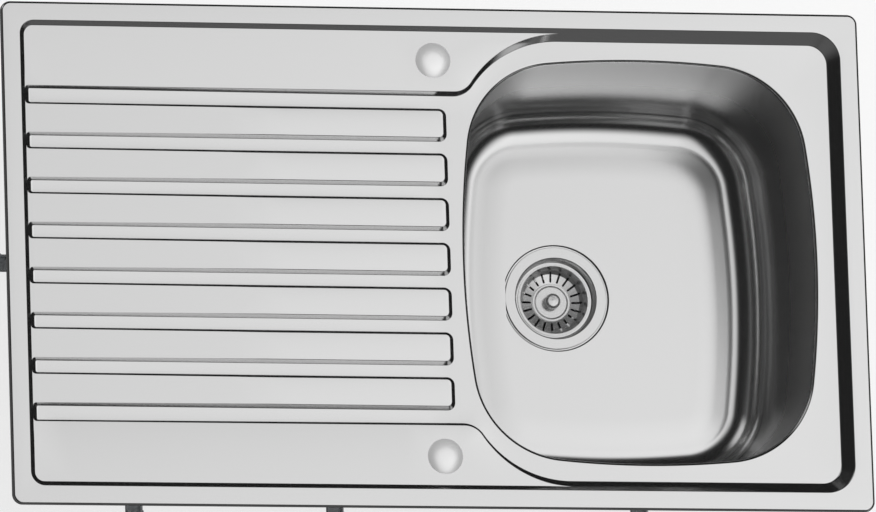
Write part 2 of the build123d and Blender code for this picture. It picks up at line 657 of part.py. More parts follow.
LEDGE_RAIL_Y = PLATE_WIDTH / 2 - LEDGE_RAIL_INSET
TRAY_RAIL_Y = PLATE_WIDTH / 2 - TRAY_RAIL_INSET
TRAY_RAIL_X = PLATE_LENGTH / 2 - TRAY_RAIL_INSET
CHANNEL_RAIL_X = CHANNEL_RAIL_INSET - PLATE_LENGTH / 2
UNDER_LEDGE = LEDGE_Z - SHEET
UNDER_TRAY = TRAY_Z - SHEET
UNDER_CHANNEL = (
    RIM_Z
    - RIB_TOP_DROP
    - RIB_HEIGHT
    - SHEET
    - math.tan(DRAINER_FALL) * (CHANNEL_RAIL_X + RAIL_WIDTH / 2 + INNER_X)
)

# Every clip hangs from its own length of rail: name, place, turn of its claw, height of the rail's top
CLIPS = {
    "back_left": (RAIL_LEFT_X, LEDGE_RAIL_Y, 0, UNDER_LEDGE),
    "back_middle": (RAIL_MIDDLE_X, LEDGE_RAIL_Y, 0, UNDER_LEDGE),
    "back_right": (BOWL_CENTRE_X, TRAY_RAIL_Y, 0, UNDER_TRAY),
    "front_left": (RAIL_LEFT_X, -LEDGE_RAIL_Y, 180, UNDER_LEDGE),
    "front_middle": (RAIL_MIDDLE_X, -LEDGE_RAIL_Y, 180, UNDER_LEDGE),
    "front_right": (BOWL_CENTRE_X, -TRAY_RAIL_Y, 180, UNDER_TRAY),
    "left_end": (CHANNEL_RAIL_X, 0, 90, UNDER_CHANNEL),
    "right_end": (TRAY_RAIL_X, 0, -90, UNDER_TRAY),
}


def place(part, clip, level=None):
    """Turns a clip's piece outwards and sets it at its rail; level is a height over the worktop's surface."""
    x, y, turn, rail_z = CLIPS[clip]
    return Pos(x, y, rail_z if level is None else level) * Rot(0, 0, turn) * part


def block(length, width, height, up=False):
    """A box over or under the point that it stands on or hangs from."""
    return Box(length, width, height, align=(Align.CENTER, Align.CENTER, Align.MIN if up else Align.MAX))


def make_rail():
    inner = block(RAIL_LENGTH + EXTRA, RAIL_WIDTH - 2 * RAIL_SHEET, RAIL_HEIGHT - 2 * RAIL_SHEET)
    slot = block(RAIL_LENGTH + EXTRA, RAIL_SLOT, RAIL_HEIGHT)
    return block(RAIL_LENGTH, RAIL_WIDTH, RAIL_HEIGHT) - Pos(0, 0, -RAIL_SHEET) * (inner + slot)


def make_bolt():
    """A T-headed bolt: its head slides in the rail, just over the rail's lips."""
    head = block(BOLT_HEAD_LENGTH, BOLT_HEAD_WIDTH, BOLT_HEAD, up=True)
    shank = Cylinder(BOLT_RADIUS, BOLT_LENGTH, align=(Align.CENTER, Align.CENTER, Align.MAX))
    shank = chamfer(shank.edges().group_by(Axis.Z)[0], BOLT_POINT)
    return Pos(0, 0, RAIL_SHEET + CLIP_GAP - RAIL_HEIGHT) * (head + shank)


def make_claw():
    """A pressed claw: a web round the bolt, two stiffening sides, a heel and a toothed tip."""
    length = CLAW_REACH + CLAW_HEEL
    middle = (CLAW_REACH - CLAW_HEEL) / 2
    edge = (CLAW_WIDTH - CLAW_SHEET) / 2
    claw = Pos(0, middle, 0) * block(CLAW_WIDTH, length, CLAW_SHEET)
    for side in (edge, -edge):
        claw = claw + Pos(side, middle, 0) * block(CLAW_SHEET, length, CLAW_SIDE_RISE, up=True)
    tip = block(CLAW_WIDTH, CLAW_SHEET, CLAW_TIP_RISE, up=True)
    claw = claw + Pos(0, CLAW_REACH - CLAW_SHEET / 2, 0) * tip
    step = CLAW_WIDTH / CLAW_TEETH
    notch = Rot(0, 45, 0) * Box(CLAW_TOOTH, 3 * CLAW_SHEET, CLAW_TOOTH)
    for index in range(CLAW_TEETH - 1):
        claw = claw - Pos((index + 1 - CLAW_TEETH / 2) * step, CLAW_REACH, CLAW_TIP_RISE) * notch
    return claw - Cylinder(BOLT_RADIUS + THREAD_GAP, 3 * CLAW_SHEET)


def make_wing_nut():
    hub_top = NUT_HUB_RADIUS - NUT_HUB_TAPER
    hub = Cone(hub_top, NUT_HUB_RADIUS, NUT_HUB, align=(Align.CENTER, Align.CENTER, Align.MAX))
    root_top = -NUT_HUB / 6
    root_foot = -NUT_HUB * 11 / 12
    wing = FilletPolyline(
        (0, root_top),
        (NUT_HUB_RADIUS, root_top),
        (NUT_WING_REACH, -NUT_WING_TOP),
        (NUT_WING_REACH - NUT_WING_TAPER, -NUT_WING_FOOT),
        (hub_top, root_foot),
        (0, root_foot),
        radius=[0, 0, NUT_WING_ROUND, NUT_WING_ROUND, 0, 0],
        close=True,
    )
    leaf = extrude(Plane.XZ * make_face(wing), amount=NUT_WING / 2, both=True)
    return hub + leaf + Rot(0, 0, 180) * leaf - Cylinder(BOLT_RADIUS + THREAD_GAP, 3 * NUT_WING_FOOT)


seal_bore = WASTE_HOLE_RADIUS + SEAL_SETBACK
flange_seal = pipe(FLANGE_RADIUS - SEAL_SETBACK, seal_bore, FLANGE_SHEET, RECESS_DEPTH)
body_seal = pipe(BODY_COLLAR_RADIUS - SEAL_SETBACK, seal_bore, RECESS_DEPTH + SHEET, BODY_TOP)

parts = {
    "drainboard_top": make_drainboard_top(),
    "bowl": make_bowl(),
    "back_tap_knockout": Pos(TAP_X, TAP_Y, 0) * make_knockout(),
    "front_tap_knockout": Pos(TAP_X, -TAP_Y, 0) * make_knockout(),
    "rim_seal": make_rim_seal(),
    "bowl_sound_pad": make_sound_pad(),
    "earth_tag": make_earth_tag(),
    "waste_flange": make_waste_flange(),
    "flange_seal": at_waste(flange_seal),
    "body_seal": at_waste(body_seal),
    "waste_body": make_waste_body(),
    "centre_screw": make_centre_screw(),
    "strainer_basket": make_strainer_basket(),
    "basket_knob": make_basket_knob(),
    "basket_stem": make_basket_stem(),
    "stopper_plate": make_stopper_plate(),
    "stopper_seal": make_stopper_seal(),
    "stem_nut": make_stem_nut(),
}

rail = make_rail()
bolt = make_bolt()
claw = make_claw()
wing_nut = make_wing_nut()
for side, node in (("back", "rails"), ("front", "rails"), ("left", "rail"), ("right", "rail")):
    rails = [place(rail, clip) for clip in CLIPS if clip.startswith(side)]
    parts[side + "_clip_" + node] = Compound(children=rails)
for clip in CLIPS:
    parts[clip + "_clip_bolt"] = place(bolt, clip)
    parts[clip + "_clip_claw"] = place(claw, clip, CLAW_Z)
    parts[clip + "_wing_nut"] = place(wing_nut, clip, NUT_Z)

for name, shape in parts.items():
    export_step(shape, "parts/" + name + ".step")
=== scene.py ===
import math

import bpy
import numpy as np
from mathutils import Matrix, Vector
from mathutils.geometry import delaunay_2d_cdt


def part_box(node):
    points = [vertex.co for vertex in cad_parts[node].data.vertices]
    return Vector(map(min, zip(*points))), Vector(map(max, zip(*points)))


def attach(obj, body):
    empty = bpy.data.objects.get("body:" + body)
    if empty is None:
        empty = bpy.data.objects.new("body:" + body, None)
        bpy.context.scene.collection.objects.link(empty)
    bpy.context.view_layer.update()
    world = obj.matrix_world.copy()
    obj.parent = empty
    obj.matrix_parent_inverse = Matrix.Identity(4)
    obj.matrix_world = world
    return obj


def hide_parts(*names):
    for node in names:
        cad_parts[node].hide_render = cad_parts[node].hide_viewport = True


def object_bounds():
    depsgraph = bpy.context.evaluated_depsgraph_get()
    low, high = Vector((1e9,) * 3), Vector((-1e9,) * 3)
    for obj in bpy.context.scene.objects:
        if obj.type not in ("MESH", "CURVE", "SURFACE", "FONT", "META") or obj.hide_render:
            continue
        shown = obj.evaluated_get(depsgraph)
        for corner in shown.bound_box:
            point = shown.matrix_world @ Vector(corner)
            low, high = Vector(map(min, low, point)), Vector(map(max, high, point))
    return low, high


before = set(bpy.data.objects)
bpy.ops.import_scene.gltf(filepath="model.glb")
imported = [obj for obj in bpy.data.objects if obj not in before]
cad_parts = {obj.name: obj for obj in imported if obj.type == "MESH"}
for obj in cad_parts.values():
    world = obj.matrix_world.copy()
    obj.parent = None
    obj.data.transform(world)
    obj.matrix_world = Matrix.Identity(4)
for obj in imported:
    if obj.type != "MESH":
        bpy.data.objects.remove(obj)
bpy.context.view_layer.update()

# The sink's own sizes, in millimetres. +X runs from the drainboard to the bowl, +Y to the back, +Z up.
MM = 0.001
SHEET = 0.8
RIM_Z = 5.0
LEDGE_Z = 0.2
TRAY_Z = -7.0
FLOOR_Z = -185.0
PLATE_HALF_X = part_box("drainboard_top")[1].x / MM
PLATE_HALF_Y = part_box("drainboard_top")[1].y / MM
PLATE_CORNER = 10.0
RIM_EDGE = 2.5
RIM_WIDTH = 18.7
STEP_RUN = 0.9
LEDGE_CORNER = 13.8
TRAY_CORNER_TOP = 28.5
TRAY_CORNER_FLOOR = 19.5
INNER_X = PLATE_HALF_X - RIM_WIDTH
INNER_Y = PLATE_HALF_Y - RIM_WIDTH
LEDGE_EDGE_Y = INNER_Y - 64.3
LEDGE_WALL_RUN = 0.46
BEND = 0.5  # how softly two faces of the pressed sheet run into each other

BOWL_X = 205.0
BOWL_HALF_X = 179.2
BOWL_HALF_Y = 204.5
BOWL_SIDE_RADIUS = 905.0
BOWL_CORNER = 94.0
LIP_RADIUS = 3.0
WELD_Z = TRAY_Z - 4.0
DRAFT = math.radians(5.0)
WELD_INSET = 3.1
FLOOR_RADIUS = 29.0
# Millimetres in from the fillet, and the floor's fall there in degrees.
FLOOR_FALL = ((0, 0), (2, 3), (6, 1), (15, 2.2), (37, 0))

NECK_X = BOWL_X - BOWL_HALF_X - 4.8
NECK_Y = LEDGE_EDGE_Y + 21.2
SWEEP_TOP = 116.3
SWEEP_FLOOR = 105.5

RIB_COUNT = 7
RIB_PITCH = 44.8
RIB_HALF = 13.25
RIB_HEIGHT = 6.0
RIB_WALL_RUN = 0.53
RIB_END_RUN = 0.7
RIB_END_X = 9.7
RIB_CORNER = 4.5
CHANNEL_CORNER = 2.0
RIB_DROP = 3.2
RIB_FALL = math.tan(math.radians(0.39))
RIB_LEVEL_X = (RIM_Z - RIB_DROP - LEDGE_Z) / RIB_FALL - INNER_X  # where the ribs' tops sink below the ledges
CHANNEL_X = -200.0  # left of this the ribs are worked out from the channels between them
FIRST_CHANNEL = 11.2  # half width of the channel beside a ledge, at its edge

TAP_X = 1.0
TAP_Y = 198.0
TAP_RADIUS = 17.5
BLANK_RISE = 2.4
BLANK_CROWN = 3.2  # how flat a blank's crown is: 2 is a plain dome

WASTE_X = 159.0
RECESS_RADIUS = 53.5
RECESS_DEPTH = 2.2
WASTE_HOLE = 45.0
RECESS_ROUND = 0.8

DROP_ROUNDS = 26  # rounds of the search for a point's depth on a wall
ROUND_STEPS = 96  # points round a tap hole
WASTE_STEPS = 192  # points round the waste
NEAR = 0.02  # how far apart heights are compared to find a slope
EDGE_TURNS = np.radians([15, 30, 45, 60, 75, 90])

LENS_RATIO = 16.337
LENS_SHIFT = 0.02
CAMERA_DISTANCE = 14.0
CAMERA_TURN = (0.211256, -0.208178, -0.031594)
CAMERA_AIM = Vector((-0.018155, -0.015974, 0.0))
FLOOR_HALF = 30.0

# ---------------------------------------------------------------- the pressed sheet's upper face

def soft_max(a, b, width=BEND):
    share = np.clip(0.5 + 0.5 * (a - b) / width, 0, 1)
    return b + (a - b) * share + width * share * (1 - share)


def soft_min(a, b, width=BEND):
    return -soft_max(-a, -b, width)


def inside_corner(past_x, past_y, corner):
    """Distance inwards from two sides that meet in a rounded corner, given how far a point lies past each."""
    x = past_x + corner
    y = past_y + corner
    return corner - np.hypot(np.maximum(x, 0), np.maximum(y, 0)) - np.minimum(np.maximum(x, y), 0)


def solve_drop(inside, x, y):
    """How deep each point lies on a wall whose outline at every depth is given by inside."""
    drop = np.zeros_like(x)
    for _ in range(DROP_ROUNDS):
        drop = np.clip(drop + inside(x, y, drop) / STEP_RUN, -3.0, 15.0)
    return drop


def tray_corner(drop):
    return TRAY_CORNER_TOP + drop / (RIM_Z - TRAY_Z) * (TRAY_CORNER_FLOOR - TRAY_CORNER_TOP)


def inside_rim(x, y, drop):
    run = STEP_RUN * drop
    corner = np.where(x > 0, tray_corner(drop), LEDGE_CORNER - run)
    return inside_corner(np.abs(x) - INNER_X + run, np.abs(y) - INNER_Y + run, corner)


def s_curve(drop):
    """The curve that ends a ledge beside the bowl, at a drop below the rim: the ledge's edge, the neck's radius, the
    sweep's centre and radius, and the angle at which they join."""
    edge = LEDGE_EDGE_Y + LEDGE_WALL_RUN * (RIM_Z - LEDGE_Z - drop)
    neck = NECK_Y - edge
    sweep = SWEEP_TOP + drop / (RIM_Z - TRAY_Z) * (SWEEP_FLOOR - SWEEP_TOP)
    top = INNER_Y - STEP_RUN * drop
    rise = top - sweep - NECK_Y
    sweep_x = NECK_X + np.sqrt((neck + sweep) ** 2 - rise**2)
    return edge, neck, sweep_x, top - sweep, sweep, np.arctan2(-rise, sweep_x - NECK_X)


def inside_step(x, y, drop):
    """Distance into the tray from the edge of a ledge, its neck and its sweep."""
    y = np.abs(y)
    edge, neck, sweep_x, sweep_y, sweep, turn = s_curve(drop)
    from_neck = np.hypot(x - NECK_X, y - NECK_Y) - neck
    from_sweep = sweep - np.hypot(x - sweep_x, y - sweep_y)
    above = np.cos(turn) * (y - NECK_Y) + np.sin(turn) * (x - NECK_X) > 0
    result = np.where(above, from_sweep, from_neck)
    result = np.where(x >= sweep_x, sweep_y + sweep - y, result)
    return np.where(x <= NECK_X, edge - y, result)


def rib_top(x):
    return RIM_Z - RIB_DROP - RIB_FALL * (x + INNER_X)


def bed_height(x):
    return np.maximum(rib_top(x) - RIB_HEIGHT, TRAY_Z)


def inside_channel(x, y, depth):
    """Distance into the channels between the ribs, at a depth below the ribs' tops."""
    half = RIB_HALF + RIB_WALL_RUN * depth
    last = (RIB_COUNT - 1) / 2
    from_rib = np.abs(y - RIB_PITCH * np.clip(np.round(y / RIB_PITCH), -last, last))
    end = RIB_END_X + RIB_END_RUN * depth
    round_rib = -inside_corner(x - end, from_rib - half, RIB_CORNER + RIB_WALL_RUN * depth)
    back = STEP_RUN * (RIB_DROP + depth) - INNER_X
    past_ledge = np.abs(y) - (last + 0.5) * RIB_PITCH
    from_middle = np.abs(y - (np.floor(y / RIB_PITCH) + 0.5) * RIB_PITCH)
    past_rib = from_middle - RIB_PITCH / 2 + half
    past_side = np.where(past_ledge > 0, past_ledge - FIRST_CHANNEL + LEDGE_WALL_RUN * depth, past_rib)
    corner = RIB_CORNER + (CHANNEL_CORNER - RIB_CORNER) * depth / RIB_HEIGHT
    return np.where(x > CHANNEL_X, round_rib, inside_corner(back - x, past_side, corner))


def top_height(x, y):
    """The height of the pressed sheet's upper face."""
    rim_drop = solve_drop(inside_rim, x, y)
    step_drop = solve_drop(inside_step, x, y)
    width = BEND * np.clip((rim_drop - step_drop) / 4, 0.02, 1)
    ledge = soft_max(LEDGE_Z, RIM_Z - rim_drop, width)
    tray = soft_max(bed_height(x), RIM_Z - np.minimum(rim_drop, step_drop))
    ribs = rib_top(x) - soft_max(solve_drop(inside_channel, x, y), 0.0)
    drainer = np.where(step_drop > RIM_Z - LEDGE_Z - BEND, soft_max(tray, ribs), tray)
    return soft_min(soft_min(RIM_Z, ledge), drainer, width)


def arc(centre, radius, start, end, step):
    """Points on an arc, from start to end in degrees, about a step apart in millimetres."""
    count = max(3, round(abs(end - start) * math.pi / 180 * radius / step) + 1)
    turn = np.radians(np.linspace(start, end, count))
    return [(centre[0] + radius * math.cos(t), centre[1] + radius * math.sin(t)) for t in turn]


def straight(a, b, step=30.0):
    count = max(2, math.ceil(math.dist(a, b) / step) + 1)
    return [(float(x), float(y)) for x, y in zip(np.linspace(a[0], b[0], count), np.linspace(a[1], b[1], count))]


def rounded_loop(half_x, half_y, left_corner, right_corner):
    """A closed outline with rounded corners, anticlockwise."""
    points = []
    for sx, sy, start in ((1, 1, 0), (-1, 1, 90), (-1, -1, 180), (1, -1, 270)):
        corner = right_corner if sx > 0 else left_corner
        points += arc((sx * (half_x - corner), sy * (half_y - corner)), corner, start, start + 90, 1.0)
    closed = []
    for a, b in zip(points, points[1:] + points[:1]):
        closed += straight(a, b)[:-1]
    return closed


def rim_loop(drop):
    run = STEP_RUN * drop
    return rounded_loop(INNER_X - run, INNER_Y - run, LEDGE_CORNER - run, tray_corner(drop))


def step_line(side, drop_at):
    """The edge of a ledge with its neck and sweep, from the left end to the rim, at a drop that may change along it."""
    points = []
    for x, _ in straight((STEP_RUN * RIB_DROP - INNER_X, 0), (NECK_X, 0)):
        points.append((x, s_curve(drop_at(x))[0]))
    edge, neck, sweep_x, sweep_y, sweep, turn = s_curve(drop_at(NECK_X + 1))
    turn = math.degrees(turn)
    points += arc((NECK_X, NECK_Y), neck, -90, -turn, 1.0)[1:]
    points += arc((sweep_x, sweep_y), sweep, 180 - turn, 90, 2.0)[1:]
    return [(x, side * y) for x, y in points]


def channel_line(depth):
    """One winding line at a depth below the ribs' tops: round each channel's closed end and each rib's open one.
    Left of RIB_LEVEL_X the ribs' tops lie level with the ledges, and the depth is measured from there."""
    level = RIM_Z - RIB_DROP - LEDGE_Z if depth < RIB_HEIGHT / 2 else 0.0
    deep = depth + level
    half, half_left = RIB_HALF + RIB_WALL_RUN * depth, RIB_HALF + RIB_WALL_RUN * deep
    end = RIB_END_X + RIB_END_RUN * depth
    back = STEP_RUN * (RIB_DROP + deep) - INNER_X
    outer = RIB_CORNER + RIB_WALL_RUN * depth
    inner = RIB_CORNER + (CHANNEL_CORNER - RIB_CORNER) * deep / RIB_HEIGHT
    last = (RIB_COUNT - 1) / 2
    side = (last + 0.5) * RIB_PITCH + FIRST_CHANNEL - LEDGE_WALL_RUN * deep
    points = arc((back + inner, inner - side), inner, 270, 180, 0.6)
    for index in range(RIB_COUNT):
        middle = (index - last) * RIB_PITCH
        low, high = middle - half, middle + half
        closed = arc((back + inner, middle - half_left - inner), inner, 180, 90, 0.6)
        opened = arc((end - outer, low + outer), outer, -90, 0, 0.9)
        opened += arc((end - outer, high - outer), outer, 0, 90, 0.9)
        again = arc((back + inner, middle + half_left + inner), inner, 270, 180, 0.6)
        there = straight(closed[-1], (RIB_LEVEL_X, low))[1:] + straight((RIB_LEVEL_X, low), opened[0])[1:-1]
        home = straight(opened[-1], (RIB_LEVEL_X, high))[1:] + straight((RIB_LEVEL_X, high), again[0])[1:-1]
        points += closed + there + opened + home + again
    return points + arc((back + inner, side - inner), inner, 180, 90, 0.6)


# ---------------------------------------------------------------- meshes

def show(name, points, normals, faces, material, slot, replaced):
    """A finished piece of the sink, with its own shading directions, in place of the CAD nodes it stands for."""
    mesh = bpy.data.meshes.new(name)
    mesh.from_pydata((np.asarray(points) * MM).tolist(), [], [tuple(map(int, face)) for face in faces])
    mesh.polygons.foreach_set("use_smooth", [True] * len(mesh.polygons))
    mesh.normals_split_custom_set_from_vertices(np.asarray(normals).tolist())
    mesh.materials.append(material)
    piece = bpy.data.objects.new(name, mesh)
    bpy.context.scene.collection.objects.link(piece)
    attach(piece, "sink")
    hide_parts(*replaced)
    return piece


class Skin:
    """The front of a sheet: points, the directions that they face, faces, and the borders where the sheet ends."""

    def __init__(self):
        self.points = []
        self.normals = []
        self.faces = []
        self.borders = []

    def add(self, points, normals):
        first = len(self.points)
        self.points += [tuple(p) for p in np.asarray(points, float)]
        self.normals += [tuple(n) for n in np.asarray(normals, float)]
        return list(range(first, len(self.points)))

    def band(self, a, b):
        """Quads between two closed rings of the same count, turned to the side that their points face."""
        first = [Vector(self.points[i]) for i in (a[0], a[1], b[1])]
        turned = (first[1] - first[0]).cross(first[2] - first[1]).dot(Vector(self.normals[b[1]])) < 0
        for i in range(len(a)):
            j = (i + 1) % len(a)
            face = (a[i], a[j], b[j], b[i])
            self.faces.append(face[::-1] if turned else face)

    def thick(self, sheet=SHEET):
        """Points, normals and faces of the whole sheet: front, back and edges."""
        points = np.array(self.points)
        normals = np.array(self.normals)
        count = len(points)
        back = points - sheet * normals
        all_points = [points, back]
        all_normals = [normals, -normals]
        faces = list(self.faces) + [tuple(i + count for i in face[::-1]) for face in self.faces]
        first = 2 * count
        for ring, turned in self.borders:
            top, low = points[ring], back[ring]
            along = np.roll(top, -1, axis=0) - np.roll(top, 1, axis=0)
            facing = np.cross(along, low - top)
            facing /= np.linalg.norm(facing, axis=1)[:, None]
            if turned:
                facing = -facing
            all_points += [top, low]
            all_normals += [facing, facing]
            size = len(ring)
            for i in range(size):
                j = (i + 1) % size
                face = (first + i, first + j, first + size + j, first + size + i)
                faces.append(face[::-1] if turned else face)
            first += 2 * size
        return np.concatenate(all_points), np.concatenate(all_normals), faces


def within(loop, x, y):
    """Whether points lie inside a convex anticlockwise loop."""
    inside = np.ones(len(x), bool)
    for (ax, ay), (bx, by) in zip(loop, np.roll(loop, -1, axis=0)):
        inside &= (bx - ax) * (y - ay) - (by - ay) * (x - ax) > 0
    return inside


def fill_plan(loops, lines, kept):
    """Triangles over the plan that follow every loop and line. kept tells which triangles stay by their middles."""
    points, edges, starts = [], [], []
    for line, closed in [(loop, True) for loop in loops] + [(line, False) for line in lines]:
        first = len(points)
        starts.append(range(first, first + len(line)))
        points += [Vector((float(x), float(y))) for x, y in line]
        edges += [(i, i + 1) for i in range(first, len(points) - 1)]
        if closed:
            edges.append((len(points) - 1, first))
    found, _, faces, origins, _, _ = delaunay_2d_cdt(points, edges, [], 0, 1e-4)
    place = {old: new for new, olds in enumerate(origins) for old in olds}
    plan = np.array([tuple(p) for p in found])
    faces = np.array([face for face in faces if len(face) == 3])
    a, b, c = plan[faces[:, 0]], plan[faces[:, 1]], plan[faces[:, 2]]
    area = (b[:, 0] - a[:, 0]) * (c[:, 1] - a[:, 1]) - (b[:, 1] - a[:, 1]) * (c[:, 0] - a[:, 0])
    faces = np.where((area > 0)[:, None], faces, faces[:, ::-1])
    middle = (a + b + c) / 3
    faces = faces[kept(middle[:, 0], middle[:, 1]) & (np.abs(area) > 1e-9)]
    return plan, faces, [[place[i] for i in start] for start in starts[: len(loops)]]


def bend_at(level):
    return [level + BEND * share for share in (-1.0, -0.75, -0.5, -0.25, 0.0, 0.25, 0.5, 0.75, 1.0)]


def circle(x, y, radius, count):
    turn = np.linspace(0, 2 * math.pi, count, endpoint=False)
    return np.column_stack((x + radius * np.cos(turn), y + radius * np.sin(turn)))


def bowl_ring(inset):
    """Points of the bowl's outline, anticlockwise, and the directions out of it. All insets share the same centres."""
    centre_x = BOWL_HALF_X - BOWL_SIDE_RADIUS
    centre_y = BOWL_HALF_Y - BOWL_SIDE_RADIUS
    reach = BOWL_SIDE_RADIUS - BOWL_CORNER
    apart = math.hypot(centre_x, centre_y)
    out = math.sqrt(reach**2 - apart**2 / 4)
    corner_x = centre_x / 2 - out * centre_y / apart
    corner_y = centre_y / 2 - out * centre_x / apart
    low = math.atan2(corner_y, corner_x - centre_x)
    high = math.atan2(corner_y - centre_y, corner_x)
    parts = [
        ((centre_x, 0.0), BOWL_SIDE_RADIUS - inset, np.linspace(0, low, 20)[:-1]),
        ((corner_x, corner_y), BOWL_CORNER - inset, np.linspace(low, high, 64)[:-1]),
        ((0.0, centre_y), BOWL_SIDE_RADIUS - inset, np.linspace(high, math.pi / 2, 20)),
    ]
    rows = []
    for (x, y), radius, turns in parts:
        rows += [(x + radius * math.cos(t), y + radius * math.sin(t), math.cos(t), math.sin(t)) for t in turns]
    quarter = np.array(rows)
    upper = np.concatenate((quarter, quarter[-2::-1] * (-1, 1, -1, 1)))
    whole = np.concatenate((upper[:-1], -upper[:-1]))
    return whole[:, :2] + (BOWL_X, 0.0), whole[:, 2:]


def bowl_rows(skin, rows, ring=None):
    """Rings down the bowl from (inset, height, how far they face sideways and up) rows."""
    rings = [] if ring is None else [ring]
    for inset, height, sideways, up in rows:
        plan, out = bowl_ring(inset)
        points = np.column_stack((plan, np.full(len(plan), height)))
        normals = np.column_stack((-out * sideways, np.full(len(plan), up)))
        rings.append(skin.add(points, normals))
    for a, b in zip(rings, rings[1:]):
        skin.band(a, b)
    return rings


def make_top(material):
    lip_plan, _ = bowl_ring(0)
    flat_x, flat_y = PLATE_HALF_X - RIM_EDGE, PLATE_HALF_Y - RIM_EDGE
    outline = np.array(rounded_loop(flat_x, flat_y, PLATE_CORNER - RIM_EDGE, PLATE_CORNER - RIM_EDGE))
    taps = [circle(TAP_X, side * TAP_Y, TAP_RADIUS, ROUND_STEPS) for side in (1, -1)]
    lines = []
    for drop in bend_at(0.0) + bend_at(RIM_Z - LEDGE_Z):
        loop = rim_loop(drop)
        lines.append(loop + loop[:1])
    for drop in bend_at(RIM_Z - TRAY_Z):
        loop = rounded_loop(INNER_X - STEP_RUN * drop, INNER_Y - STEP_RUN * drop, 1.0, tray_corner(drop))
        start = next(i for i, (x, y) in enumerate(loop) if x < NECK_X + 20 and y > 0)
        loop = loop[start:] + loop[:start]
        lines.append([p for p in loop if p[0] > NECK_X + 20])
    for drop in bend_at(RIB_DROP):
        x = STEP_RUN * drop - INNER_X
        lines.append(straight((x, -LEDGE_EDGE_Y), (x, LEDGE_EDGE_Y)))
    for side in (1, -1):
        for drop in bend_at(RIM_Z - LEDGE_Z):
            lines.append(step_line(side, lambda x: drop))
        for more in bend_at(0.0):
            lines.append(step_line(side, lambda x: RIM_Z - float(bed_height(x)) + more))
    for depth in bend_at(0.0) + bend_at(RIB_HEIGHT):
        lines.append(channel_line(depth))

    def kept(x, y):
        on_tap = np.hypot(x - TAP_X, np.abs(y) - TAP_Y) < TAP_RADIUS * math.cos(math.pi / ROUND_STEPS)
        return ~within(lip_plan, x, y) & ~on_tap & within(outline, x, y)

    plan, faces, (outer, lip, back_tap, front_tap) = fill_plan([outline, lip_plan, *taps], lines, kept)
    x, y = plan[:, 0], plan[:, 1]
    z = top_height(x, y)
    slope_x = (top_height(x + NEAR, y) - top_height(x - NEAR, y)) / (2 * NEAR)
    slope_y = (top_height(x, y + NEAR) - top_height(x, y - NEAR)) / (2 * NEAR)
    normals = np.column_stack((-slope_x, -slope_y, np.ones(len(x))))
    normals /= np.linalg.norm(normals, axis=1)[:, None]
    skin = Skin()
    skin.add(np.column_stack((x, y, z)), normals)
    skin.faces += [tuple(face) for face in faces]

    edge = np.array([plan[i] for i in outer])
    centre = np.array((flat_x - PLATE_CORNER + RIM_EDGE, flat_y - PLATE_CORNER + RIM_EDGE))
    corner = np.clip(edge, -centre, centre)
    away = (edge - corner) / np.linalg.norm(edge - corner, axis=1)[:, None]
    rings = [outer]
    for turn in EDGE_TURNS:
        reach, height = RIM_EDGE * math.sin(turn), RIM_Z - RIM_EDGE * (1 - math.cos(turn))
        points = np.column_stack((edge + away * reach, np.full(len(edge), height)))
        rings.append(skin.add(points, np.column_stack((away * math.sin(turn), np.full(len(edge), math.cos(turn))))))
    foot = np.column_stack((edge + away * RIM_EDGE, np.zeros(len(edge))))
    rings.append(skin.add(foot, np.column_stack((away, np.zeros(len(edge))))))
    for a, b in zip(rings, rings[1:]):
        skin.band(a, b)

    turns = np.linspace(0, math.pi / 2 - DRAFT, 10)[1:]
    rows = []
    for t in turns:
        rows.append((LIP_RADIUS * math.sin(t), TRAY_Z - LIP_RADIUS * (1 - math.cos(t)), math.sin(t), math.cos(t)))
    rows.append((WELD_INSET, WELD_Z, math.cos(DRAFT), math.sin(DRAFT)))
    lip_rings = bowl_rows(skin, rows, lip)
    skin.borders = [(rings[-1], True), (lip_rings[-1], False), (back_tap, False), (front_tap, False)]
    return show("top_sheet", *skin.thick(), material, "satin_steel", ["drainboard_top"])


